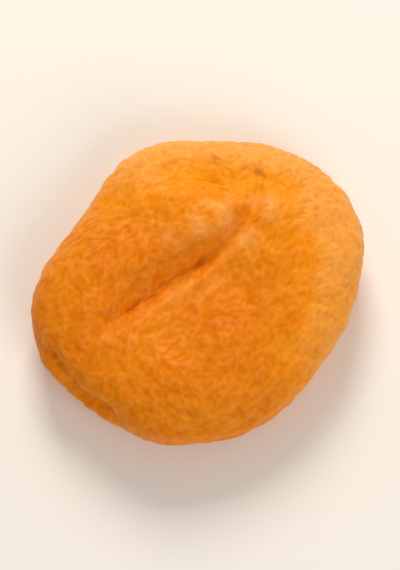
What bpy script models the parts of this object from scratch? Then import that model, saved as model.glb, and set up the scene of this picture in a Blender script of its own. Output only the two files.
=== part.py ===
"""A whole pitted dried apricot, lying on its broad side.

Run it with blender --background --python part.py, or from Blender's text editor.
Lengths are metres and +Z is up. The origin is on the surface that the fruit lies on, under the middle
of its box. +X runs along the crease of the upper face towards the stem end, and +Y to its left.

The fruit is one closed body. A ball is pressed into a puffy disc with the fruit's own outline, both
faces sink over the place where the stone was, folds are drawn into them, a seam and a closed slit run
round the edge, the skin shrivels into low wrinkles, and three feet underneath are pressed flat.
"""

import math
from collections import namedtuple

import bmesh
import bpy
import numpy as np
from mathutils import Vector, noise

MM = 0.001

# Outline: the distance from the middle to the edge, every 30 degrees from +X round to the left.
EDGE_RADII = [r * MM for r in (17.2, 15.4, 15.1, 15.5, 15.5, 20.0, 20.8, 20.7, 19.4, 17.4, 17.0, 18.0)]

# Thickness: the height of the widest line, and how far the flesh stands above and below it.
EDGE_HEIGHT = 5.0 * MM
RISE_ABOVE = 5.5 * MM
DROP_BELOW = 4.7 * MM
EDGE_FULLNESS = 4.8          # 2 gives a lens, and more gives a rounder edge and flatter faces
EDGE_WAVES = (               # the widest line's rise and fall round the fruit: size, waves a turn, start
    (0.45 * MM, 2, 0.9),
    (0.25 * MM, 3, 2.6),
    (0.15 * MM, 5, 0.4),
)

# Body mesh: the ball's fineness, and the triangles that the finished body keeps.
BALL_STEPS = 7
BALL_TRIANGLES = 20 * 4 ** (BALL_STEPS - 1)
KEPT_TRIANGLES = 9000

# Resting: three low feet round the weight, and how much of each is pressed flat.
FEET = ((38, 11.0 * MM), (160, 12.0 * MM), (277, 10.5 * MM))   # direction in degrees, distance out
FOOT_DROP = 0.5 * MM
FOOT_SPREAD = 4.2 * MM
FOOT_REACH = 2.5 * MM
FOOT_PRESSED = 0.16 * MM

Sink = namedtuple("Sink", "side middle reach turn depth")
Fold = namedtuple("Fold", "side path depth left right lip swell floor")

# Broad hollows of the faces. side is 1 above and -1 below, middle and reach are along X and Y.
SINKS = (
    Sink(1, (0.0 * MM, -1.0 * MM), (13.5 * MM, 10.0 * MM), 0, 0.45 * MM),
    Sink(1, (3.6 * MM, 2.9 * MM), (6.5 * MM, 2.4 * MM), -14, -0.58 * MM),
    Sink(1, (2.1 * MM, -5.7 * MM), (4.6 * MM, 2.8 * MM), -20, 0.40 * MM),
    Sink(1, (-7.5 * MM, -6.0 * MM), (4.0 * MM, 3.2 * MM), 30, 0.16 * MM),
    Sink(-1, (0.5 * MM, 0.5 * MM), (9.5 * MM, 8.0 * MM), 15, 1.6 * MM),
)

# Folds: path is in plan in mm, depth at the deepest, left and right are the reach of each bank, lip is
# the height of the rolled edge on the right bank, swell is where along the path it is deepest, and floor
# is how round its bottom is.
# FURROW runs inside the edge, from the left lobe's far side past the stem scar and round the right lobe.
FURROW = Fold(1, ((11.7, -5.5), (12.7, -2.3), (11.7, 0.0), (10.3, 2.0), (8.7, 4.3), (6.7, 6.5),
                  (4.7, 8.2), (2.1, 9.8), (-1.5, 11.1)),
              0.95 * MM, 2.2 * MM, 2.8 * MM, 0.04 * MM, 0.52, 0.60 * MM)
# NOTCH is short, and runs from it in over the left lobe.
NOTCH = Fold(1, ((7.5, 7.5), (6.5, 6.1), (6.1, 4.9), (5.5, 4.0), (4.5, 3.3)),
             0.66 * MM, 1.2 * MM, 1.1 * MM, 0.08 * MM, 0.40, 0.40 * MM)
FOLDS = (
    # the broad valley of the upper face, into which its left lobe rolls
    Fold(1, ((-15.9, 1.5), (-10.7, 1.5), (-6.1, 1.2), (-1.8, 0.5), (2.6, 0.4), (8.0, 0.9)),
         1.10 * MM, 3.5 * MM, 5.0 * MM, 0.0, 0.50, 0.50 * MM),
    # the sharp crease in its floor, and the narrower one that carries on to the stem end
    Fold(1, ((-17.4, 1.3), (-13.2, 1.5), (-8.6, 1.5), (-4.4, 0.9), (-1.8, 0.5), (0.0, 0.4), (2.0, 0.4)),
         1.12 * MM, 2.7 * MM, 0.95 * MM, 0.28 * MM, 0.50, 0.24 * MM),
    Fold(1, ((-1.8, 0.5), (0.6, 0.4), (2.9, 0.4), (5.4, 0.5), (7.4, 0.8), (9.2, 1.7), (11.3, 3.4)),
         0.80 * MM, 1.25 * MM, 1.00 * MM, 0.26 * MM, 0.50, 0.30 * MM),
    # a short second line beside its left end
    Fold(1, ((-12.5, 4.9), (-10.1, 4.5), (-7.3, 3.9)),
         0.22 * MM, 1.0 * MM, 0.9 * MM, 0.03 * MM, 0.5, 0.24 * MM),
    FURROW,
    # its faint end, which parts the right lobe from the edge
    Fold(1, ((12.7, -1.1), (12.3, -4.3), (10.5, -7.1), (8.0, -9.5), (4.7, -11.5), (1.1, -12.9),
             (-3.5, -13.5)),
         0.50 * MM, 2.8 * MM, 2.4 * MM, 0.05 * MM, 0.40, 1.20 * MM),
    NOTCH,
    # a small gather below the left end of the crease, and one across the right lobe
    Fold(1, ((-13.7, 3.9), (-15.3, 0.9), (-14.5, -2.5)),
         0.25 * MM, 1.8 * MM, 1.8 * MM, 0.04 * MM, 0.5, 0.70 * MM),
    Fold(1, ((-3.9, -3.7), (-1.9, -6.7), (1.5, -8.9)),
         0.18 * MM, 2.2 * MM, 2.0 * MM, 0.02 * MM, 0.5, 0.90 * MM),
    # the folds of the underside, which meet near its middle
    Fold(-1, ((-11.8, -2.8), (-6.0, -1.2), (-0.5, 0.8), (5.5, 0.2), (11.5, -2.4)),
         1.5 * MM, 2.2 * MM, 2.8 * MM, 0.20 * MM, 0.5, 0.30 * MM),
    Fold(-1, ((-0.2, 0.4), (-1.6, 4.6), (-4.4, 8.4)),
         0.9 * MM, 1.8 * MM, 1.6 * MM, 0.12 * MM, 0.35, 0.30 * MM),
    Fold(-1, ((4.6, 0.2), (6.4, -4.2), (6.2, -9.4)),
         0.7 * MM, 1.6 * MM, 1.6 * MM, 0.10 * MM, 0.35, 0.30 * MM),
    Fold(-1, ((6.8, 0.8), (9.4, 4.6), (9.8, 8.8)),
         0.6 * MM, 1.5 * MM, 1.5 * MM, 0.10 * MM, 0.4, 0.30 * MM),
)
GATHER = 0.55                # how strongly the mesh closes up towards a fold
GATHER_REACH = 1.6 * MM

# Seam: the fruit's natural suture, a shallow groove along the edge from the stem round the right side.
SEAM_FROM, SEAM_TO = -172, -12           # degrees
SEAM_DEPTH, SEAM_REACH = 0.25 * MM, 0.75 * MM
# Slit: where the stone was pressed out, closed again, at the far end. Its lower lip juts out.
SLIT_FROM, SLIT_TO = 162, 203
SLIT_DEPTH, SLIT_REACH, SLIT_LEDGE = 0.80 * MM, 0.60 * MM, 0.40 * MM
SLIT_HEIGHT = 1.2 * MM                   # above the widest line
# Stem scar: a small pit on the shoulder at the stem end.
STEM_PLACE = (11.2 * MM, 3.8 * MM)
STEM_REACH, STEM_DEPTH = 0.9 * MM, 0.40 * MM

# Wrinkles that show in the outline: distance between them, height, and how far they run as streaks.
WRINKLES = ((5.6 * MM, 0.22 * MM, 0.8), (2.8 * MM, 0.10 * MM, 0.7))
WANDER_WAVE, WANDER = 4.0 * MM, 0.35 * MM  # how far the folds stray from their drawn paths

SKIN_COLOUR = (0.80, 0.262, 0.028, 1.0)   # linear


def smooth(low, high, value):
    """0 below low, 1 above high, and a soft ramp between."""
    t = np.clip((value - low) / (high - low), 0.0, 1.0)
    return t * t * (3.0 - 2.0 * t)


def edge_radius(angle):
    """The outline's radius: a smooth closed curve through EDGE_RADII."""
    waves = np.fft.rfft(EDGE_RADII) / len(EDGE_RADII)
    radius = np.full_like(angle, waves[0].real)
    for k in range(1, len(waves)):
        share = 1.0 if 2 * k == len(EDGE_RADII) else 2.0
        radius += share * (waves[k].real * np.cos(k * angle) - waves[k].imag * np.sin(k * angle))
    return radius


def edge_wave(angle):
    return sum(size * np.cos(n * angle + start) for size, n, start in EDGE_WAVES)


def profile(share):
    """Evenly along the section, from 0 at the edge to 1 over the middle: distance out and rise, 0 to 1."""
    turn = np.linspace(0.0, math.pi / 2, 600)
    out, rise = np.cos(turn) ** (2.0 / EDGE_FULLNESS), np.sin(turn)
    steps = np.hypot(np.diff(out) * np.mean(EDGE_RADII), np.diff(rise) * RISE_ABOVE)
    along = np.concatenate([[0.0], np.cumsum(steps)])
    return np.interp(share, along / along[-1], out), np.interp(share, along / along[-1], rise)


def noise_at(points, wave, seed):
    """Smooth noise from about -1 to 1 at each point, with humps about one wave apart."""
    shift = Vector((seed * 17.3, seed * 5.9, seed * 11.1))
    return np.array([noise.noise(Vector(p) + shift) for p in points / wave])


def curve_through(path, count=60):
    """Points along a smooth curve through the path's plan points, given in millimetres."""
    p = np.array(path, float) * MM
    p = np.vstack([2 * p[0] - p[1], p, 2 * p[-1] - p[-2]])
    spans = len(p) - 3
    at = np.linspace(0, spans, count)
    i = np.minimum(at.astype(int), spans - 1)
    t = (at - i)[:, None]
    a, b, c, d = p[i], p[i + 1], p[i + 2], p[i + 3]
    square, cube = 2 * a - 5 * b + 4 * c - d, 3 * b - a - 3 * c + d
    return 0.5 * (2 * b + (c - a) * t + square * t**2 + cube * t**3)


def beside(points, line):
    """For each plan point: the way to it from the line, the distance, left positive, and the share along."""
    start, step = line[:-1], np.diff(line, axis=0)
    nearest = np.full(len(points), np.inf)
    off, side, share = np.zeros((len(points), 2)), np.ones(len(points)), np.zeros(len(points))
    for k in range(len(step)):
        away = points - start[k]
        t = np.clip((away @ step[k]) / (step[k] @ step[k]), 0.0, 1.0)
        way = away - t[:, None] * step[k]
        distance = np.hypot(way[:, 0], way[:, 1])
        closer = distance < nearest
        nearest[closer] = distance[closer]
        off[closer] = way[closer]
        side[closer] = np.where(step[k, 0] * away[:, 1] < step[k, 1] * away[:, 0], -1, 1)[closer]
        share[closer] = ((k + t) / len(step))[closer]
    return off, nearest * side, share


def fold_strength(fold, along):
    """0 at both ends of a fold and 1 where it is deepest."""
    grown = np.where(along < fold.swell, along / fold.swell, (1 - along) / (1 - fold.swell))
    return smooth(0.0, 0.55, grown)


def gathered(plan, folds):
    """The plan points drawn in towards the folds, as skin is, so that no fold's floor is short of them."""
    for fold in folds:
        off, across, along = beside(plan, curve_through(fold.path))
        pull = GATHER * fold_strength(fold, along) * np.exp(-((across / GATHER_REACH) ** 2))
        plan = plan - off * pull[:, None]
    return plan


def fold_height(fold, plan):
    """How far this fold moves the skin, negative inwards."""
    _, across, along = beside(plan, curve_through(fold.path))
    soft = np.sqrt(across**2 + fold.floor**2) - fold.floor
    left, right = soft / fold.left, soft / fold.right
    rolled = 1 - (1 - (1 - np.minimum(left, 1)) ** 1.8) ** 0.9      # a bank that rolls over into the fold
    steep = np.exp(-(right**1.6))
    lip = np.where(across < 0, np.exp(-(((right - 1.7) / 0.9) ** 2)), 0)
    return fold_strength(fold, along) * (fold.lip * lip - fold.depth * np.where(across > 0, rolled, steep))


def sink_height(sink, plan):
    turn = math.radians(sink.turn)
    x, y = (plan - np.array(sink.middle)).T
    along = (x * math.cos(turn) + y * math.sin(turn)) / sink.reach[0]
    across = (y * math.cos(turn) - x * math.sin(turn)) / sink.reach[1]
    return -sink.depth * np.exp(-((along**2 + across**2) ** 1.3))


def arc_share(angle, start, end):
    """0 at both ends of an arc of the edge and 1 along its middle, for angles in degrees."""
    middle, half = (start + end) / 2, (end - start) / 2
    away = np.abs((np.degrees(angle) - middle + 180) % 360 - 180)
    return 1 - smooth(0.55, 1.0, away / half)


def edge_marks(angle, rise):
    """How far the seam and the slit press the edge inwards."""
    wavy = 0.25 * MM * np.sin(angle * 9) + 0.15 * MM * np.sin(angle * 17 + 1)
    seam = SEAM_DEPTH * np.exp(-(((rise - wavy) / SEAM_REACH) ** 2)) * arc_share(angle, SEAM_FROM, SEAM_TO)
    off = (rise - SLIT_HEIGHT - wavy) / SLIT_REACH
    ledge = SLIT_LEDGE * np.tanh(off) * np.exp(-((off / 3.5) ** 2))
    slit = (SLIT_DEPTH * np.exp(-np.abs(off) ** 1.6) + ledge) * arc_share(angle, SLIT_FROM, SLIT_TO)
    return seam + slit


def foot_middle(foot):
    direction, distance = foot
    return distance * np.array([math.cos(math.radians(direction)), math.sin(math.radians(direction))])


def skin_points(directions):
    """Where each point of a unit ball goes on the fruit, before the wrinkles."""
    angle = np.arctan2(directions[:, 1], directions[:, 0])
    lift = np.arcsin(np.clip(directions[:, 2], -1, 1)) / (math.pi / 2)
    out, rise = profile(np.abs(lift))
    above = lift > 0
    around = np.stack([np.cos(angle), np.sin(angle)], axis=1)
    plan = around * (edge_radius(angle) * out)[:, None]
    middle = EDGE_HEIGHT + out**2 * edge_wave(angle)
    rough = np.c_[plan, middle + np.where(above, RISE_ABOVE, -DROP_BELOW) * rise]
    wander = WANDER * np.stack([noise_at(rough, WANDER_WAVE, seed) for seed in (1, 2)], axis=1)
    face = smooth(0.10, 0.62, rise)
    moved = np.zeros(len(plan))
    for side in (1, -1):
        on = (lift * side) > 0
        folds = [fold for fold in FOLDS if fold.side == side]
        drawn = plan[on] + wander[on]
        close = drawn + (gathered(drawn, folds) - drawn) * face[on, None]
        height = sum(sink_height(sink, close) for sink in SINKS if sink.side == side)
        height += sum(fold_height(fold, close) for fold in folds)
        moved[on] = side * height * face[on]
        plan[on] += close - drawn
    for foot in FEET:
        away = np.hypot(*(plan - foot_middle(foot)).T)
        moved -= np.where(above, 0, FOOT_DROP * np.exp(-((away / FOOT_SPREAD) ** 2)))
    inward = edge_marks(angle, rough[:, 2] - middle) * (1 - smooth(0.75, 1.0, np.abs(lift)))
    return np.c_[plan - around * inward[:, None], rough[:, 2] + moved]


def stem_scar(points):
    """How far the stem scar's pit lies under the skin round it."""
    above = points[points[:, 2] > EDGE_HEIGHT]
    stem = above[np.hypot(*(above[:, :2] - STEM_PLACE).T).argmin()]
    away = np.linalg.norm(points - stem, axis=1) / STEM_REACH
    return STEM_DEPTH * np.exp(-(away**2))


def wrinkle_height(points):
    """Rounded ridges with sharper valleys between them, in layers from coarse to fine."""
    height = np.zeros(len(points))
    for layer, (wave, size, streak) in enumerate(WRINKLES):
        bend = np.stack([noise_at(points, 1.8 * wave, 20 + layer + way) for way in range(3)], axis=1)
        bent = points + 0.35 * wave * bend
        ridges = np.abs(noise_at(bent * (1, 1, streak), 1.3 * wave, 30 + layer))
        height += size * (np.sqrt(ridges**2 + 0.003) * 2.2 - 0.6)
    return height


def settled(points):
    """The fruit over its origin, tilted until its feet are level, and let down until they press flat."""
    points[:, :2] -= (points[:, :2].max(0) + points[:, :2].min(0)) / 2
    under = points[:, 2] < EDGE_HEIGHT
    lows = []
    for foot in FEET:
        near = under & (np.hypot(*(points[:, :2] - foot_middle(foot)).T) < FOOT_REACH)
        lows.append(points[near][points[near, 2].argmin()])
    lows = np.array(lows)
    slope = np.linalg.solve(np.c_[lows[:, :2], np.ones(3)], lows[:, 2])
    points[:, 2] -= points[:, :2] @ slope[:2] + slope[2] + FOOT_PRESSED
    return points


def fruit_mesh():
    """The whole skin as one closed mesh, before its feet are cut flat."""
    ball = bmesh.new()
    bmesh.ops.create_icosphere(ball, subdivisions=BALL_STEPS, radius=1.0)
    mesh = bpy.data.meshes.new("dried_apricot")
    ball.to_mesh(mesh)
    ball.free()
    directions = np.array([vertex.co for vertex in mesh.vertices])
    points = skin_points(directions)
    mesh.vertices.foreach_set("co", points.astype(np.float32).ravel())
    mesh.update()
    normals = np.array([vertex.normal for vertex in mesh.vertices])
    points = settled(points + normals * (wrinkle_height(points) - stem_scar(points))[:, None])
    mesh.vertices.foreach_set("co", points.astype(np.float32).ravel())
    mesh.update()
    return mesh


def apricot_material():
    material = bpy.data.materials.new("dried_apricot_skin")
    material.use_nodes = True
    shader = material.node_tree.nodes["Principled BSDF"]
    shader.inputs["Base Color"].default_value = SKIN_COLOUR
    shader.inputs["Roughness"].default_value = 0.42
    shader.inputs["Metallic"].default_value = 0.0
    return material


def surface_cutter():
    """A slab whose top is the surface that the fruit lies on. It presses the feet flat."""
    slab = bmesh.new()
    bmesh.ops.create_cube(slab, size=60 * MM)
    bmesh.ops.translate(slab, verts=slab.verts, vec=(0, 0, -30 * MM))
    mesh = bpy.data.meshes.new("surface_cutter")
    slab.to_mesh(mesh)
    slab.free()
    cutter = bpy.data.objects.new("surface_cutter", mesh)
    cutter.hide_render = True
    cutter.display_type = "WIRE"
    bpy.context.scene.collection.objects.link(cutter)
    return cutter


def dried_apricot():
    fruit = bpy.data.objects.new("dried_apricot", fruit_mesh())
    bpy.context.scene.collection.objects.link(fruit)
    fruit.data.materials.append(apricot_material())
    fruit.data.shade_smooth()
    fewer = fruit.modifiers.new("fewer_triangles", "DECIMATE")
    fewer.ratio = KEPT_TRIANGLES / BALL_TRIANGLES
    flat = fruit.modifiers.new("pressed_flat", "BOOLEAN")
    flat.operation = "DIFFERENCE"
    flat.solver = "EXACT"
    flat.object = surface_cutter()
    return fruit


def main():
    for old in list(bpy.data.objects):
        bpy.data.objects.remove(old)
    dried_apricot()


main()
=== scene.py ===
"""A whole pitted dried apricot on a pale table, laid out as a Blender add-on and run as a script.

Lengths are metres and +Z is up. The fruit lies on the floor with its creased face up, +X along the crease
towards the stem end and +Y to the crease's left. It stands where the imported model's fruit is.
"""

import math
from collections import namedtuple

import bmesh
import bpy
import numpy as np
from bpy.props import FloatProperty, FloatVectorProperty, IntProperty, PointerProperty
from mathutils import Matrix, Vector, noise


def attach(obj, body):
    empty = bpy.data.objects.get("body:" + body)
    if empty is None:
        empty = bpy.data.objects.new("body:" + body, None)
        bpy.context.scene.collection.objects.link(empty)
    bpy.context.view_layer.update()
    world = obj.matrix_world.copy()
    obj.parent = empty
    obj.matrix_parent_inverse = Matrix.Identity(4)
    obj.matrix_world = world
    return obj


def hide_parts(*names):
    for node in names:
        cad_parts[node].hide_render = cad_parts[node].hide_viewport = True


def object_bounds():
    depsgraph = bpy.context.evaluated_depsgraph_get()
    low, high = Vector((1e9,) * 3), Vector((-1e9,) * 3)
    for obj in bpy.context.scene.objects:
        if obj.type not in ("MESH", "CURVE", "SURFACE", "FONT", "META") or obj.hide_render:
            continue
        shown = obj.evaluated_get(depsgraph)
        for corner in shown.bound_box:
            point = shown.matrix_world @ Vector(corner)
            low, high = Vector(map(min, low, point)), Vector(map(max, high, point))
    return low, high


bl_info = {
    "name": "Dried Apricot",
    "version": (1, 0, 0),
    "blender": (4, 5, 0),
    "location": "View3D > Sidebar > Apricot",
    "description": "Makes a whole pitted dried apricot and the table, light and camera to look at it",
    "category": "Add Mesh",
}

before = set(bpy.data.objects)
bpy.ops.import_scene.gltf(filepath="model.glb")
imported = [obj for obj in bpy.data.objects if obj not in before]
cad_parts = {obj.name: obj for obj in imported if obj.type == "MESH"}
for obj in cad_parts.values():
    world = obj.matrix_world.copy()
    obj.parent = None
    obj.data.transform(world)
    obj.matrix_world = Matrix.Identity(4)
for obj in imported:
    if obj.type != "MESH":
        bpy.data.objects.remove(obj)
CAD_LOW, CAD_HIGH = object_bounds()
MM = 0.001

Sink = namedtuple("Sink", "side middle reach turn depth")
Fold = namedtuple("Fold", "side path depth left right lip swell floor")

# Outline: the distance from the middle to the edge, every 30 degrees from +X round to the left.
EDGE_RADII = [r * MM for r in (17.2, 15.4, 15.1, 15.5, 15.5, 20.0, 20.8, 20.7, 19.4, 17.4, 17.0, 18.0)]
EDGE_WAVES = (               # the widest line's rise and fall round the fruit: size, waves a turn, start
    (0.45 * MM, 2, 0.9),
    (0.25 * MM, 3, 2.6),
    (0.15 * MM, 5, 0.4),
)

# Broad hollows of the faces, and swellings, where the depth is negative. side is 1 above and -1 below,
# middle and reach are along X and Y, and turn is in degrees.
SINKS = (
    Sink(1, (0.0 * MM, -1.0 * MM), (13.5 * MM, 10.0 * MM), 0, 0.45 * MM),
    Sink(1, (3.6 * MM, 2.9 * MM), (6.5 * MM, 2.4 * MM), -14, -0.58 * MM),
    Sink(1, (2.1 * MM, -5.7 * MM), (4.6 * MM, 2.8 * MM), -20, 0.40 * MM),
    Sink(1, (-7.5 * MM, -6.0 * MM), (4.0 * MM, 3.2 * MM), 30, 0.16 * MM),
    Sink(-1, (0.5 * MM, 0.5 * MM), (9.5 * MM, 8.0 * MM), 15, 1.6 * MM),
)

# Folds: path is in plan in mm, depth at the deepest, left and right are the reach of each bank, lip is
# the height of the rolled edge on the right bank, swell is where along the path it is deepest, and floor
# is how round its bottom is.
# FURROW runs inside the edge, from the left lobe's far side past the stem scar and round the right lobe.
FURROW = Fold(1, ((11.7, -5.5), (12.7, -2.3), (11.7, 0.0), (10.3, 2.0), (8.7, 4.3), (6.7, 6.5),
                  (4.7, 8.2), (2.1, 9.8), (-1.5, 11.1)),
              0.95 * MM, 2.2 * MM, 2.8 * MM, 0.04 * MM, 0.52, 0.6 * MM)
# NOTCH is short, and runs from it in over the left lobe.
NOTCH = Fold(1, ((7.5, 7.5), (6.5, 6.1), (6.1, 4.9), (5.5, 4.0), (4.5, 3.3)),
             0.66 * MM, 1.2 * MM, 1.1 * MM, 0.08 * MM, 0.40, 0.40 * MM)
FOLDS = (
    # the broad valley of the upper face, into which its left lobe rolls
    Fold(1, ((-15.9, 1.5), (-10.7, 1.5), (-6.1, 1.2), (-1.8, 0.5), (2.6, 0.4), (8.0, 0.9)),
         1.10 * MM, 3.5 * MM, 5.0 * MM, 0.0, 0.50, 0.50 * MM),
    # the sharp crease in its floor, and the narrower one that carries on to the stem end
    Fold(1, ((-17.4, 1.3), (-13.2, 1.5), (-8.6, 1.5), (-4.4, 0.9), (-1.8, 0.5), (0.0, 0.4), (2.0, 0.4)),
         1.12 * MM, 2.7 * MM, 0.95 * MM, 0.28 * MM, 0.50, 0.24 * MM),
    Fold(1, ((-1.4, 0.5), (0.6, 0.4), (2.9, 0.4), (5.4, 0.5), (7.4, 0.8), (9.4, 1.8), (11.7, 3.7)),
         0.88 * MM, 1.15 * MM, 0.95 * MM, 0.28 * MM, 0.52, 0.20 * MM),
    # a short second line beside its left end
    Fold(1, ((-12.5, 4.9), (-10.1, 4.5), (-7.3, 3.9)),
         0.22 * MM, 1.0 * MM, 0.9 * MM, 0.03 * MM, 0.5, 0.15 * MM),
    FURROW,
    # its faint end, which parts the right lobe from the edge
    Fold(1, ((12.7, -1.1), (12.3, -4.3), (10.5, -7.1), (8.0, -9.5), (4.7, -11.5), (1.1, -12.9),
             (-3.5, -13.5)),
         0.50 * MM, 2.8 * MM, 2.4 * MM, 0.05 * MM, 0.40, 1.2 * MM),
    NOTCH,
    # a small gather below the left end of the crease, and one across the right lobe
    Fold(1, ((-13.7, 3.9), (-15.3, 0.9), (-14.5, -2.5)),
         0.25 * MM, 1.8 * MM, 1.8 * MM, 0.04 * MM, 0.5, 0.7 * MM),
    Fold(1, ((-3.9, -3.7), (-1.9, -6.7), (1.5, -8.9)),
         0.18 * MM, 2.2 * MM, 2.0 * MM, 0.02 * MM, 0.5, 0.9 * MM),
    # the folds of the underside, which meet near its middle
    Fold(-1, ((-11.8, -2.8), (-6.0, -1.2), (-0.5, 0.8), (5.5, 0.2), (11.5, -2.4)),
         1.5 * MM, 2.2 * MM, 2.8 * MM, 0.20 * MM, 0.5, 0.30 * MM),
    Fold(-1, ((-0.2, 0.4), (-1.6, 4.6), (-4.4, 8.4)),
         0.9 * MM, 1.8 * MM, 1.6 * MM, 0.12 * MM, 0.35, 0.30 * MM),
    Fold(-1, ((4.6, 0.2), (6.4, -4.2), (6.2, -9.4)),
         0.7 * MM, 1.6 * MM, 1.6 * MM, 0.10 * MM, 0.35, 0.30 * MM),
    Fold(-1, ((6.8, 0.8), (9.4, 4.6), (9.8, 8.8)),
         0.6 * MM, 1.5 * MM, 1.5 * MM, 0.10 * MM, 0.4, 0.30 * MM),
)
GATHER, GATHER_REACH = 0.55, 1.6 * MM        # how strongly the mesh closes up towards a fold, and how near
# Painted highlight, with some dry bloom, on the lips and crests that face the light: the height of the
# palest lips, a broad crest's share of it, and how the paleness breaks up, with its mean and its swing.
LIP_PALE, CREST_PALE = 0.34 * MM, 0.5
LIP_WAVE, LIP_MEAN, LIP_SWING = 2.2 * MM, 0.55, 0.9

# Seam: the fruit's natural suture, along the edge from the stem round the right side, in degrees.
SEAM_FROM, SEAM_TO, SEAM_REACH = -172, -12, 0.75 * MM
# Slit: where the stone was pressed out, closed again, at the far end. Its lower lip juts out, and its
# height is above the widest line.
SLIT_FROM, SLIT_TO, SLIT_REACH, SLIT_LEDGE, SLIT_HEIGHT = 162, 203, 0.60 * MM, 0.40 * MM, 1.2 * MM
# Stem scar: a small puckered pit on the shoulder, where the folds of the upper face meet.
STEM_PLACE, STEM_REACH, STEM_RIBS, STEM_RIB_HEIGHT = (11.2 * MM, 3.8 * MM), 0.9 * MM, 7, 0.05 * MM
# Pale shoulder, partly paler skin and partly painted highlight and sheen on the rim: the edge stays paler
# round the stem end, from one of these directions to the other, and between these shares of the way out,
# with a ragged inner side.
PALE_EDGE, PALE_FROM, PALE_TO, PALE_INNER, PALE_OUTER = 0.75, -124, 122, 0.48, 0.96
PALE_WAVE, PALE_RAGGED = 3.0 * MM, 0.16
# The whole fruit turns yellower between these places, towards the stem end and, by this lean, its left. The
# lean points it towards the side the key light comes from, so it is partly painted light.
WARM_END, WARM_FROM, WARM_TO, WARM_LEAN = 0.45, -6.0 * MM, 15.0 * MM, 0.6

# Resting: three low feet round the weight, and how much of each is pressed flat.
FEET = ((38, 11.0 * MM), (160, 12.0 * MM), (277, 10.5 * MM))   # direction in degrees, distance out
FOOT_DROP, FOOT_SPREAD, FOOT_REACH, FOOT_PRESSED = 0.5 * MM, 4.2 * MM, 2.5 * MM, 0.16 * MM

WRINKLES = ((5.6 * MM, 0.22 * MM, 0.8), (2.8 * MM, 0.10 * MM, 0.7))   # distance, height, streak
WANDER_WAVE, WANDER = 4.0 * MM, 0.35 * MM    # how far the folds stray from their drawn paths

SPREAD_SHARE = 0.12          # of a height difference that evens out along each thread in one step
TIGHTEST_PULL = 2.0          # the most that a short thread pulls, where a typical one pulls 1
STREAK = 0.25                # how much further the wrinkles run from stem to far end than across
STREAK_END = 20.5 * MM       # the stem and the far end, where the wrinkles would meet
GROWN_NEAR, GROWN_FAR = 0.175, 0.28          # the two reaches, in wrinkles, whose difference grows them
GROWN_GAIN = 0.9                             # how hard each round squares the wrinkles off
RIDGE_PUCKERS = 0.4          # the middling wrinkles' part in what the skin shows as ridge, the rest is fine
PATCH_REACH, PATCH_GAIN = 2.5 * MM, 14       # the rougher patches: their size, and how sharply they end
# How strongly the fine wrinkles show: everywhere, and besides in a rough patch and on the pale shoulder.
PEBBLED_LEAST, PEBBLED_ROUGH, PEBBLED_PALE = 0.65, 0.45, 0.7


class ApricotShape(bpy.types.PropertyGroup):
    """Sizes of the fruit."""
    edge_height: FloatProperty(
        name="Edge height", description="Height of the fruit's widest line above the table",
        default=5.0 * MM, min=0.0, unit="LENGTH")
    rise_above: FloatProperty(
        name="Rise above", description="How far the flesh stands above the widest line",
        default=5.5 * MM, min=0.0, unit="LENGTH")
    drop_below: FloatProperty(
        name="Drop below", description="How far the flesh reaches below the widest line",
        default=4.7 * MM, min=0.0, unit="LENGTH")
    edge_fullness: FloatProperty(
        name="Edge fullness", description="2 gives a lens, and more gives a rounder edge and flatter faces",
        default=4.8, min=2.0, max=8.0)
    seam_depth: FloatProperty(
        name="Seam depth", description="Depth of the natural suture along the edge",
        default=0.25 * MM, min=0.0, unit="LENGTH")
    slit_depth: FloatProperty(
        name="Slit depth", description="Depth of the closed slit where the stone came out",
        default=0.80 * MM, min=0.0, unit="LENGTH")
    stem_depth: FloatProperty(
        name="Stem scar depth", description="Depth of the puckered pit at the stem end",
        default=0.40 * MM, min=0.0, unit="LENGTH")
    pebble_wave: FloatProperty(
        name="Pebble spacing", description="Distance between the skin's fine wrinkles",
        default=1.15 * MM, min=0.5 * MM, unit="LENGTH")
    pebble_height: FloatProperty(
        name="Pebble height", description="Height of the skin's fine wrinkles",
        default=0.062 * MM, min=0.0, unit="LENGTH")
    pucker_wave: FloatProperty(
        name="Pucker spacing", description="Distance between the middling wrinkles",
        default=2.5 * MM, min=1.0 * MM, unit="LENGTH")
    pucker_height: FloatProperty(
        name="Pucker height", description="Height of the middling wrinkles",
        default=0.085 * MM, min=0.0, unit="LENGTH")
    cells: IntProperty(
        name="Cells", description="Squares along each of the mesh's edges, six times squared in all",
        default=128, min=16, max=128)


def linear(hex_colour):
    """An sRGB hex colour as linear red, green and blue."""
    parts = [int(hex_colour[i:i + 2], 16) / 255 for i in (1, 3, 5)]
    return tuple(c / 12.92 if c <= 0.04045 else ((c + 0.055) / 1.055) ** 2.4 for c in parts)


def colour_property(name, description, hex_colour):
    return FloatVectorProperty(
        name=name, description=description, subtype="COLOR", default=linear(hex_colour), min=0.0, max=1.0)


class ApricotColours(bpy.types.PropertyGroup):
    """Colours of the skin, with painted shade, highlight and glow among them."""
    skin: colour_property("Skin", "Most of the skin", "#EA840A")
    sunny: colour_property("Sunny", "Yellower patches", "#F3950E")
    blush: colour_property("Blush", "Deeper, redder patches", "#E37006")
    # Yellower skin towards the stem end, and a painted glow of light through the skin in the furrow
    golden_and_glow: colour_property("Golden", "The yellower skin towards the stem end and in the furrow", "#FA9A0C")
    # Paler skin, with painted highlight and sheen on the rim
    pale: colour_property("Pale", "The shoulder round the stem end", "#F8AA4C")
    # Painted highlight on the lips, crests and ridge tops, with some dry bloom
    bloom_and_highlight: colour_property("Bloom", "The dry, dusty tops of the ridges and wrinkles", "#FDAC56")
    # Painted shade on the floors of the folds
    crease: colour_property("Crease", "The floor of the folds", "#D86A08")
    scar: colour_property("Scar", "The dry stem scar", "#B26E26")
    # Painted shade in the wrinkles' valleys, and the skin's own darker grain
    grain_and_shade: colour_property("Grain", "Shades the wrinkles' valleys and the skin's grain", "#DDC6A6")


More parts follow.
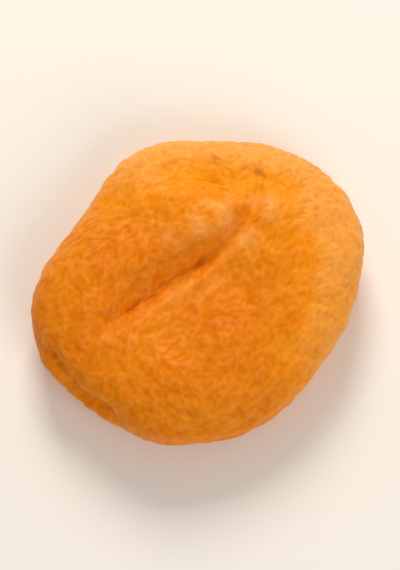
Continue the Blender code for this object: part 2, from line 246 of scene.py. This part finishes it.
class ApricotStudio(bpy.types.PropertyGroup):
    """The table, the light and the camera."""
    floor: colour_property("Table", "The matt table top", "#FAF8F5")
    sky: colour_property("Surroundings", "The light room all round", "#FBF4E8")
    sky_strength: FloatProperty(
        name="Surroundings' light", description="Strength of the light from all round", default=0.38,
        min=0.0)
    key_power: FloatProperty(
        name="Key light", description="Power of the soft main light", default=1.44, min=0.0, unit="POWER")
    fill_power: FloatProperty(
        name="Fill light", description="Power of the weak light from the other side", default=0.90,
        min=0.0, unit="POWER")
    azimuth: FloatProperty(
        name="Camera azimuth", description="Where the camera stands, 0 looks along +Y",
        default=math.radians(-42), unit="ROTATION")
    elevation: FloatProperty(
        name="Camera elevation", description="How high the camera stands", default=math.radians(76),
        unit="ROTATION")
    distance: FloatProperty(
        name="Camera distance", description="From the camera to the fruit", default=0.62, unit="LENGTH")
    frame_height: FloatProperty(
        name="Frame height", description="How much the picture takes in at the fruit, top to bottom",
        default=64.0 * MM, unit="LENGTH")


def smooth(low, high, value):
    """0 below low, 1 above high, and a soft ramp between."""
    t = np.clip((value - low) / (high - low), 0.0, 1.0)
    return t * t * (3.0 - 2.0 * t)


def edge_radius(angle):
    """The outline's radius: a smooth closed curve through EDGE_RADII."""
    waves = np.fft.rfft(EDGE_RADII) / len(EDGE_RADII)
    radius = np.full_like(angle, waves[0].real)
    for k in range(1, len(waves)):
        share = 1.0 if 2 * k == len(EDGE_RADII) else 2.0
        radius += share * (waves[k].real * np.cos(k * angle) - waves[k].imag * np.sin(k * angle))
    return radius


def edge_wave(angle):
    return sum(size * np.cos(n * angle + start) for size, n, start in EDGE_WAVES)


def profile(shape, share):
    """Evenly along the section, from 0 at the edge to 1 over the middle: distance out and rise, 0 to 1."""
    turn = np.linspace(0.0, math.pi / 2, 600)
    out, rise = np.cos(turn) ** (2.0 / shape.edge_fullness), np.sin(turn)
    steps = np.hypot(np.diff(out) * np.mean(EDGE_RADII), np.diff(rise) * shape.rise_above)
    along = np.concatenate([[0.0], np.cumsum(steps)])
    return np.interp(share, along / along[-1], out), np.interp(share, along / along[-1], rise)


def noise_at(points, wave, seed):
    """Smooth noise from about -1 to 1 at each point, with humps about one wave apart."""
    shift = Vector((seed * 17.3, seed * 5.9, seed * 11.1))
    return np.array([noise.noise(Vector(p) + shift) for p in points / wave])


def curve_through(path, count=60):
    """Points along a smooth curve through the path's plan points, given in millimetres."""
    p = np.array(path, float) * MM
    p = np.vstack([2 * p[0] - p[1], p, 2 * p[-1] - p[-2]])
    spans = len(p) - 3
    at = np.linspace(0, spans, count)
    i = np.minimum(at.astype(int), spans - 1)
    t = (at - i)[:, None]
    a, b, c, d = p[i], p[i + 1], p[i + 2], p[i + 3]
    square, cube = 2 * a - 5 * b + 4 * c - d, 3 * b - a - 3 * c + d
    return 0.5 * (2 * b + (c - a) * t + square * t**2 + cube * t**3)


def beside(points, line):
    """For each plan point: the way to it from the line, the distance, left positive, and the share along."""
    start, step = line[:-1], np.diff(line, axis=0)
    nearest = np.full(len(points), np.inf)
    off, side, share = np.zeros((len(points), 2)), np.ones(len(points)), np.zeros(len(points))
    for k in range(len(step)):
        away = points - start[k]
        t = np.clip((away @ step[k]) / (step[k] @ step[k]), 0.0, 1.0)
        way = away - t[:, None] * step[k]
        distance = np.hypot(way[:, 0], way[:, 1])
        closer = distance < nearest
        nearest[closer] = distance[closer]
        off[closer] = way[closer]
        side[closer] = np.where(step[k, 0] * away[:, 1] < step[k, 1] * away[:, 0], -1, 1)[closer]
        share[closer] = ((k + t) / len(step))[closer]
    return off, nearest * side, share


def fold_strength(fold, along):
    """0 at both ends of a fold and 1 where it is deepest."""
    grown = np.where(along < fold.swell, along / fold.swell, (1 - along) / (1 - fold.swell))
    return smooth(0.0, 0.55, grown)


def gathered(plan, folds):
    """The plan points drawn in towards the folds, as skin is, so that no fold's floor is short of them."""
    for fold in folds:
        off, across, along = beside(plan, curve_through(fold.path))
        pull = GATHER * fold_strength(fold, along) * np.exp(-((across / GATHER_REACH) ** 2))
        plan = plan - off * pull[:, None]
    return plan


def fold_shares(fold, plan):
    """Each plan point's share of this fold's depth, of its lip's height and of the painted highlight on its
    lip.
    """
    _, across, along = beside(plan, curve_through(fold.path))
    soft = np.sqrt(across**2 + fold.floor**2) - fold.floor
    left, right = soft / fold.left, soft / fold.right
    rolled = 1 - (1 - (1 - np.minimum(left, 1)) ** 1.8) ** 0.9      # a bank that rolls over into the fold
    steep = np.exp(-(right**1.6))
    lip = np.where(across < 0, np.exp(-(((right - 1.7) / 0.9) ** 2)), 0)
    # the lip's outer bank, where the material paints a highlight
    dusty_and_lit = np.where(across < 0, smooth(0.1, 1.4, right) * np.exp(-((right / 3.0) ** 2)), 0)
    strength = fold_strength(fold, along)
    return strength * np.where(across > 0, rolled, steep), strength * lip, strength * dusty_and_lit


def sink_height(sink, plan):
    turn = math.radians(sink.turn)
    x, y = (plan - np.array(sink.middle)).T
    along = (x * math.cos(turn) + y * math.sin(turn)) / sink.reach[0]
    across = (y * math.cos(turn) - x * math.sin(turn)) / sink.reach[1]
    return -sink.depth * np.exp(-((along**2 + across**2) ** 1.3))


def arc_share(angle, start, end):
    """0 at both ends of an arc of the edge and 1 along its middle, for angles in degrees."""
    middle, half = (start + end) / 2, (end - start) / 2
    away = np.abs((np.degrees(angle) - middle + 180) % 360 - 180)
    return 1 - smooth(0.55, 1.0, away / half)


def edge_marks(shape, angle, rise):
    """How far the seam and the slit press the edge inwards."""
    wavy = 0.25 * MM * np.sin(angle * 9) + 0.15 * MM * np.sin(angle * 17 + 1)
    seam = shape.seam_depth * np.exp(-(((rise - wavy) / SEAM_REACH) ** 2))
    seam *= arc_share(angle, SEAM_FROM, SEAM_TO)
    off = (rise - SLIT_HEIGHT - wavy) / SLIT_REACH
    ledge = SLIT_LEDGE * np.tanh(off) * np.exp(-((off / 3.5) ** 2))
    slit = (shape.slit_depth * np.exp(-np.abs(off) ** 1.6) + ledge) * arc_share(angle, SLIT_FROM, SLIT_TO)
    return seam + slit


def foot_middle(foot):
    direction, distance = foot
    return distance * np.array([math.cos(math.radians(direction)), math.sin(math.radians(direction))])


def skin_points(shape, directions):
    """Where each point of a unit ball goes on the fruit, and its share of each mark that the skin's colour
    follows, painted light and shade among them.
    """
    angle = np.arctan2(directions[:, 1], directions[:, 0])
    lift = np.arcsin(np.clip(directions[:, 2], -1, 1)) / (math.pi / 2)
    out, rise = profile(shape, np.abs(lift))
    above = lift > 0
    around = np.stack([np.cos(angle), np.sin(angle)], axis=1)
    plan = around * (edge_radius(angle) * out)[:, None]
    middle = shape.edge_height + out**2 * edge_wave(angle)
    rough = np.c_[plan, middle + np.where(above, shape.rise_above, -shape.drop_below) * rise]
    wander = WANDER * np.stack([noise_at(rough, WANDER_WAVE, seed) for seed in (1, 2)], axis=1)
    face = smooth(0.10, 0.62, rise)
    moved, folded, lips, furrow = np.zeros((4, len(plan)))
    for side in (1, -1):
        on = (lift * side) > 0
        folds = [fold for fold in FOLDS if fold.side == side]
        drawn = plan[on] + wander[on]
        close = drawn + (gathered(drawn, folds) - drawn) * face[on, None]
        broad = [sink_height(sink, close) for sink in SINKS if sink.side == side]
        height = sum(broad)
        # painted highlight on the crests of the swellings
        lips[on] = CREST_PALE * sum(np.maximum(each, 0) for each in broad) * face[on] / LIP_PALE
        for fold in folds:
            dip, lip, dusty_and_lit = fold_shares(fold, close)
            height += fold.lip * lip - fold.depth * dip
            # the fold's depth, by which the material paints shade on the folds' floors
            folded[on] += fold.depth * dip * face[on] / MM
            # the furrow and the notch, which the material paints with a yellow glow of light through the
            # skin
            if fold in (FURROW, NOTCH):
                furrow[on] = np.maximum(furrow[on], dip * face[on])
            else:
                # painted highlight on each lip, which faces the light
                lips[on] += fold.lip * dusty_and_lit * face[on] / LIP_PALE
        moved[on] = side * height * face[on]
        plan[on] += close - drawn
    for foot in FEET:
        away = np.hypot(*(plan - foot_middle(foot)).T)
        moved -= np.where(above, 0, FOOT_DROP * np.exp(-((away / FOOT_SPREAD) ** 2)))
    inward = edge_marks(shape, angle, rough[:, 2] - middle) * (1 - smooth(0.75, 1.0, np.abs(lift)))
    points = np.c_[plan - around * inward[:, None], rough[:, 2] + moved]
    ragged = out + PALE_RAGGED * noise_at(rough, PALE_WAVE, 41)
    lips *= LIP_MEAN + LIP_SWING * noise_at(rough, LIP_WAVE, 51)
    # the pale shoulder, partly painted highlight and sheen on the rim
    pale = PALE_EDGE * arc_share(angle, PALE_FROM, PALE_TO) * smooth(PALE_INNER, PALE_OUTER, ragged)
    # yellower towards the stem end, and lighter towards the key light's side as painted light
    pale += WARM_END * smooth(WARM_FROM, WARM_TO, plan[:, 0] + WARM_LEAN * plan[:, 1])
    return points, {"folded": folded, "lips": lips, "furrow": furrow, "pale": pale}


def stem_scar(shape, points):
    """The pit and the puckered ring of the stem scar: how far they move the skin, and 1 at its middle."""
    above = points[points[:, 2] > shape.edge_height]
    stem = above[np.hypot(*(above[:, :2] - STEM_PLACE).T).argmin()]
    off = points - stem
    away = np.linalg.norm(off, axis=1) / STEM_REACH
    scar = np.exp(-(away**2))
    ring = np.exp(-(((away - 1.9) / 1.0) ** 2)) * np.cos(STEM_RIBS * np.arctan2(off[:, 1], off[:, 0]))
    return STEM_RIB_HEIGHT * ring - shape.stem_depth * scar, scar


def wrinkle_height(points):
    """Rounded ridges with sharper valleys between them, in layers from coarse to fine."""
    height = np.zeros(len(points))
    for layer, (wave, size, streak) in enumerate(WRINKLES):
        bend = np.stack([noise_at(points, 1.8 * wave, 20 + layer + way) for way in range(3)], axis=1)
        bent = points + 0.35 * wave * bend
        ridges = np.abs(noise_at(bent * (1, 1, streak), 1.3 * wave, 30 + layer))
        height += size * (np.sqrt(ridges**2 + 0.003) * 2.2 - 0.6)
    return height


def settled(shape, points):
    """The fruit over its origin, tilted until its feet are level, and let down until they press flat."""
    points[:, :2] -= (points[:, :2].max(0) + points[:, :2].min(0)) / 2
    under = points[:, 2] < shape.edge_height
    lows = []
    for foot in FEET:
        near = under & (np.hypot(*(points[:, :2] - foot_middle(foot)).T) < FOOT_REACH)
        lows.append(points[near][points[near, 2].argmin()])
    lows = np.array(lows)
    slope = np.linalg.solve(np.c_[lows[:, :2], np.ones(3)], lows[:, 2])
    points[:, 2] -= points[:, :2] @ slope[:2] + slope[2] + FOOT_PRESSED
    return points


def ball_mesh(name, cells):
    """A unit ball of even squares: a cube's faces, blown round."""
    cube = bmesh.new()
    bmesh.ops.create_cube(cube, size=2.0)
    bmesh.ops.subdivide_edges(cube, edges=cube.edges[:], cuts=cells - 1, use_grid_fill=True)
    mesh = bpy.data.meshes.new(name)
    cube.to_mesh(mesh)
    cube.free()
    flat = np.tan(read(mesh.vertices, "co", 3) * math.pi / 4)
    write_points(mesh, flat / np.linalg.norm(flat, axis=1)[:, None])
    return mesh


def read(items, what, width):
    values = np.empty(len(items) * width, np.float32)
    items.foreach_get(what, values)
    return values.reshape(-1, width).astype(float)


def write_points(mesh, points):
    mesh.vertices.foreach_set("co", points.astype(np.float32).ravel())
    mesh.update()


def normals_of(mesh):
    return read(mesh.vertex_normals, "vector", 3)


def threads(mesh, points):
    """The mesh's edges as threads along which height evens out: both ends, and how strongly each pulls.

    The threads that run from the stem to the far end pull harder than those across, so that what grows
    out of them is drawn out into streaks that way, as the skin of the real fruit is.
    """
    ends = np.empty(len(mesh.edges) * 2, np.int32)
    mesh.edges.foreach_get("vertices", ends)
    a, b = ends.reshape(-1, 2).T
    way = points[b] - points[a]
    length = np.linalg.norm(way, axis=1)
    typical = np.median(length)
    x, y = (points[a] + points[b])[:, :2].T / 2
    lean = -x * y / (STREAK_END**2 - x**2)
    along = (way[:, 0] + way[:, 1] * lean) / (length * np.sqrt(1 + lean**2))
    streak = STREAK * (1 - smooth(0.75, 0.95, np.abs(x) / STREAK_END))
    pull = np.minimum((typical / length) ** 2, TIGHTEST_PULL) * (1 + streak * (2 * along**2 - 1))
    return a, b, pull, typical


def evened(height, net, reach):
    """The height spread out over about this reach, as heat spreads."""
    a, b, pull, typical = net
    steps = max(1, round(reach**2 / (2 * SPREAD_SHARE * typical**2)))
    for _ in range(steps):
        flow = SPREAD_SHARE * pull * (height[b] - height[a])
        height = height + np.bincount(a, flow, len(height)) - np.bincount(b, flow, len(height))
    return height


def shrivelled(net, wave, seed, rounds, lean):
    """Wrinkles that grow out of noise, one wave apart, from -1 to 1. A positive lean widens the ridges."""
    near, far = GROWN_NEAR * wave, GROWN_FAR * wave
    height = np.random.default_rng(seed).standard_normal(int(max(net[0].max(), net[1].max())) + 1)
    for _ in range(rounds):
        close = evened(height, net, near)
        wide = evened(close, net, math.sqrt(far**2 - near**2))
        swing = close - wide
        height = np.tanh(GROWN_GAIN * swing / swing.std() + lean)
    return evened(height, net, 0.5 * near)


def store(mesh, name, values):
    mesh.attributes.new(name, "FLOAT", "POINT").data.foreach_set("value", values.astype(np.float32))


def fruit_mesh(shape):
    """The whole skin as one closed mesh, with what the material needs to know at each point."""
    mesh = ball_mesh("dried_apricot_skin", shape.cells)
    points, marks = skin_points(shape, read(mesh.vertices, "co", 3))
    write_points(mesh, points)
    pressed, scar = stem_scar(shape, points)
    points = points + normals_of(mesh) * (wrinkle_height(points) + pressed)[:, None]
    write_points(mesh, points)
    net = threads(mesh, points)
    puckers = shrivelled(net, shape.pucker_wave, seed=3, rounds=2, lean=0.35)
    pebbles = shrivelled(net, shape.pebble_wave, seed=7, rounds=1, lean=0.40)
    patches = evened(np.random.default_rng(11).standard_normal(len(points)), net, PATCH_REACH)
    rough = smooth(-0.5, 0.5, patches * PATCH_GAIN)
    height = shape.pucker_height * puckers
    height += shape.pebble_height * pebbles * (
        PEBBLED_LEAST + PEBBLED_ROUGH * rough + PEBBLED_PALE * marks["pale"])
    points = settled(shape, points + normals_of(mesh) * height[:, None])
    points[:, 2] = np.maximum(points[:, 2], 0.0)
    write_points(mesh, points)
    for name, values in marks.items():
        store(mesh, name, values)
    store(mesh, "scar", scar)
    # from this the material paints highlight on the ridge tops and shade in the valleys
    ridge = RIDGE_PUCKERS * puckers + (1 - RIDGE_PUCKERS) * pebbles
    store(mesh, "ridge", 0.5 + 0.5 * np.clip(ridge, -1, 1))
    mesh.shade_smooth()
    return mesh


def add_node(tree, kind, settings=None, inputs=None):
    """Adds one node, sets its own settings, and gives its sockets values or links."""
    node = tree.nodes.new(kind)
    for name, value in (settings or {}).items():
        setattr(node, name, value)
    for name, value in (inputs or {}).items():
        if isinstance(value, bpy.types.NodeSocket):
            tree.links.new(value, node.inputs[name])
        else:
            node.inputs[name].default_value = value
    return node


def with_alpha(colour):
    return (*colour[:3], 1.0)


def sun_dried_apricot_skin(colours):
    """Sulphured sun-dried apricot skin: thin, waxy and part see-through over orange flesh.

    The eye gets a soft, broken shine off the wax and light that glows through thin edges. The colour holds
    painted light:
    painted shade makes it deeper and redder where the skin folds in and in the wrinkles' valleys, painted
    highlight with some dry bloom makes it paler on lips, crests and ridge tops, a painted glow makes the
    furrow yellower, and round the stem it is paler, partly as painted highlight.
    """
    material = bpy.data.materials.new("sun_dried_apricot_skin")
    material.use_nodes = True
    tree = material.node_tree
    shader = tree.nodes["Principled BSDF"]
    place = add_node(tree, "ShaderNodeTexCoord").outputs["Object"]

    # Each layer of colour: its humps' distance apart or the mesh's value that it follows, where that
    # value starts and ends the change, how much of the colour it gives, how it is laid on, and the colour.
    layers = (
        (9.0 * MM, 0.42, 0.64, 0.50, "MIX", colours.sunny),
        (4.6 * MM, 0.52, 0.70, 0.55, "MIX", colours.blush),
        # the yellower stem end and the pale shoulder, both partly painted light
        ("pale", 0.0, 0.45, 0.75, "MIX", colours.golden_and_glow),
        ("pale", 0.30, 1.05, 0.90, "MIX", colours.pale),
        # painted shade, darker and redder on the folds' floors
        ("folded", 1.60, 3.00, 0.20, "MIX", colours.crease),
        # painted highlight on the lips, crests and ridge tops, with some dry bloom
        ("lips", 0.05, 0.80, 0.90, "MIX", colours.bloom_and_highlight),
        ("ridge", 0.50, 1.00, 0.23, "MIX", colours.bloom_and_highlight),
        # painted glow of light through the skin in the furrow and the notch
        ("furrow", 0.30, 0.90, 0.85, "MIX", colours.golden_and_glow),
        # painted shade in the wrinkles' valleys; the next layer is the skin's own darker grain
        ("ridge", 0.60, 0.00, 0.40, "MULTIPLY", colours.grain_and_shade),
        (0.6 * MM, 0.60, 0.30, 0.25, "MULTIPLY", colours.grain_and_shade),
        ("scar", 0.45, 1.00, 0.52, "MIX", colours.scar),
    )
    colour = with_alpha(colours.skin)
    for source, start, end, share, blend, paint in layers:
        if isinstance(source, str):
            value = add_node(tree, "ShaderNodeAttribute", {"attribute_name": source}).outputs["Fac"]
        else:
            value = add_node(tree, "ShaderNodeTexNoise", {"noise_dimensions": "3D"},
                             {"Vector": place, "Scale": 1 / source, "Detail": 2.0}).outputs["Fac"]
        mask = add_node(tree, "ShaderNodeMapRange", {"interpolation_type": "SMOOTHSTEP"},
                        {"Value": value, "From Min": start, "From Max": end, "To Max": share})
        colour = add_node(tree, "ShaderNodeMix", {"data_type": "RGBA", "blend_type": blend},
                          {0: mask.outputs["Result"], 6: colour, 7: with_alpha(paint)}).outputs[2]
    tree.links.new(colour, shader.inputs["Base Color"])

    # The wax lies thicker in some patches, which shine a little more.
    wax = add_node(tree, "ShaderNodeTexNoise", {"noise_dimensions": "3D"},
                   {"Vector": place, "Scale": 1 / (3 * MM)})
    shine = add_node(tree, "ShaderNodeMapRange", {},
                     {"Value": wax.outputs["Fac"], "From Min": 0.35, "From Max": 0.65,
                      "To Min": 0.38, "To Max": 0.50})
    tree.links.new(shine.outputs["Result"], shader.inputs["Roughness"])
    pores = add_node(tree, "ShaderNodeTexNoise", {"noise_dimensions": "3D"},
                     {"Vector": place, "Scale": 1 / (0.40 * MM), "Detail": 2.0})
    bump = add_node(tree, "ShaderNodeBump", {},
                    {"Height": pores.outputs["Fac"], "Strength": 0.5, "Distance": 0.06 * MM})
    tree.links.new(bump.outputs["Normal"], shader.inputs["Normal"])

    shader.inputs["IOR"].default_value = 1.45
    shader.inputs["Specular IOR Level"].default_value = 0.38
    shader.inputs["Specular Tint"].default_value = with_alpha(linear("#FFBE78"))
    shader.inputs["Subsurface Weight"].default_value = 0.35
    shader.inputs["Subsurface Radius"].default_value = (1.0, 0.38, 0.10)
    shader.inputs["Subsurface Scale"].default_value = 2.0 * MM
    return material


def matt_table(colour):
    """A matt painted table top: it gives the eye nothing but the fruit's soft shadow."""
    material = bpy.data.materials.new("matt_painted_table")
    material.use_nodes = True
    shader = material.node_tree.nodes["Principled BSDF"]
    shader.inputs["Base Color"].default_value = with_alpha(colour)
    shader.inputs["Roughness"].default_value = 0.7
    return material


class APRICOT_OT_fruit(bpy.types.Operator):
    """Make the dried apricot"""
    bl_idname = "apricot.fruit"
    bl_label = "Dried apricot"

    def execute(self, context):
        fruit = bpy.data.objects.new("dried_apricot_skin", fruit_mesh(context.scene.apricot_shape))
        context.scene.collection.objects.link(fruit)
        fruit.data.materials.append(sun_dried_apricot_skin(context.scene.apricot_colours))
        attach(fruit, "root")
        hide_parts("dried_apricot")
        return {"FINISHED"}


def camera_back(studio):
    """The direction from the fruit to the camera."""
    flat, high = math.cos(studio.elevation), math.sin(studio.elevation)
    return Vector((math.sin(studio.azimuth) * flat, -math.cos(studio.azimuth) * flat, high))


def add_camera(context, studio, aim):
    back = camera_back(studio)
    data = bpy.data.cameras.new("photo_view")
    data.lens = data.sensor_width * studio.distance / studio.frame_height
    camera = bpy.data.objects.new("photo_view", data)
    camera.location = aim + back * studio.distance
    camera.rotation_euler = (-back).to_track_quat("-Z", "Y").to_euler()
    context.scene.collection.objects.link(camera)
    context.scene.camera = camera


def add_soft_light(context, name, studio, aim, turn, height, distance, size, power, colour):
    """A soft square light. turn is in degrees anticlockwise from the picture's right, height upwards."""
    across = studio.azimuth + math.radians(turn)
    flat = math.cos(math.radians(height))
    way = Vector((math.cos(across) * flat, math.sin(across) * flat, math.sin(math.radians(height))))
    data = bpy.data.lights.new(name, "AREA")
    data.size = size
    data.energy = power
    data.color = linear(colour)
    light = bpy.data.objects.new(name, data)
    light.location = aim + way * distance
    light.rotation_euler = (-way).to_track_quat("-Z", "Y").to_euler()
    context.scene.collection.objects.link(light)


class APRICOT_OT_stage(bpy.types.Operator):
    """Make the table, the lights and the camera"""
    bl_idname = "apricot.stage"
    bl_label = "Table, light and camera"

    def execute(self, context):
        studio = context.scene.apricot_studio
        table = bmesh.new()
        bmesh.ops.create_grid(table, x_segments=1, y_segments=1, size=1.5)
        mesh = bpy.data.meshes.new("table_top")
        table.to_mesh(mesh)
        table.free()
        mesh.materials.append(matt_table(studio.floor))
        top = bpy.data.objects.new("table_top", mesh)
        context.scene.collection.objects.link(top)

        aim = (CAD_LOW + CAD_HIGH) / 2
        add_camera(context, studio, aim)
        add_soft_light(context, "key_light", studio, aim, turn=94, height=38, distance=0.45, size=0.18,
                       power=studio.key_power, colour="#FFF6EA")
        add_soft_light(context, "fill_light", studio, aim, turn=-55, height=40, distance=0.50, size=0.30,
                       power=studio.fill_power, colour="#FFFAF4")

        world = bpy.data.worlds.new("light_room")
        world.use_nodes = True
        background = world.node_tree.nodes["Background"]
        background.inputs["Color"].default_value = with_alpha(studio.sky)
        background.inputs["Strength"].default_value = studio.sky_strength
        context.scene.world = world
        context.scene.view_settings.view_transform = "Standard"
        return {"FINISHED"}


class VIEW3D_PT_apricot(bpy.types.Panel):
    bl_label = "Dried Apricot"
    bl_space_type = "VIEW_3D"
    bl_region_type = "UI"
    bl_category = "Apricot"

    def draw(self, context):
        for group in ("apricot_shape", "apricot_colours", "apricot_studio"):
            settings = getattr(context.scene, group)
            box = self.layout.box()
            for name in settings.bl_rna.properties.keys():
                if name not in ("rna_type", "name"):
                    box.prop(settings, name)
        self.layout.operator(APRICOT_OT_fruit.bl_idname)
        self.layout.operator(APRICOT_OT_stage.bl_idname)


CLASSES = (
    ApricotShape, ApricotColours, ApricotStudio, APRICOT_OT_fruit, APRICOT_OT_stage, VIEW3D_PT_apricot)


def register():
    for each in CLASSES:
        bpy.utils.register_class(each)
    bpy.types.Scene.apricot_shape = PointerProperty(type=ApricotShape)
    bpy.types.Scene.apricot_colours = PointerProperty(type=ApricotColours)
    bpy.types.Scene.apricot_studio = PointerProperty(type=ApricotStudio)


def unregister():
    del bpy.types.Scene.apricot_studio
    del bpy.types.Scene.apricot_colours
    del bpy.types.Scene.apricot_shape
    for each in reversed(CLASSES):
        bpy.utils.unregister_class(each)


def main():
    register()
    bpy.ops.apricot.fruit()
    bpy.ops.apricot.stage()


if __name__ == "__main__":
    main()
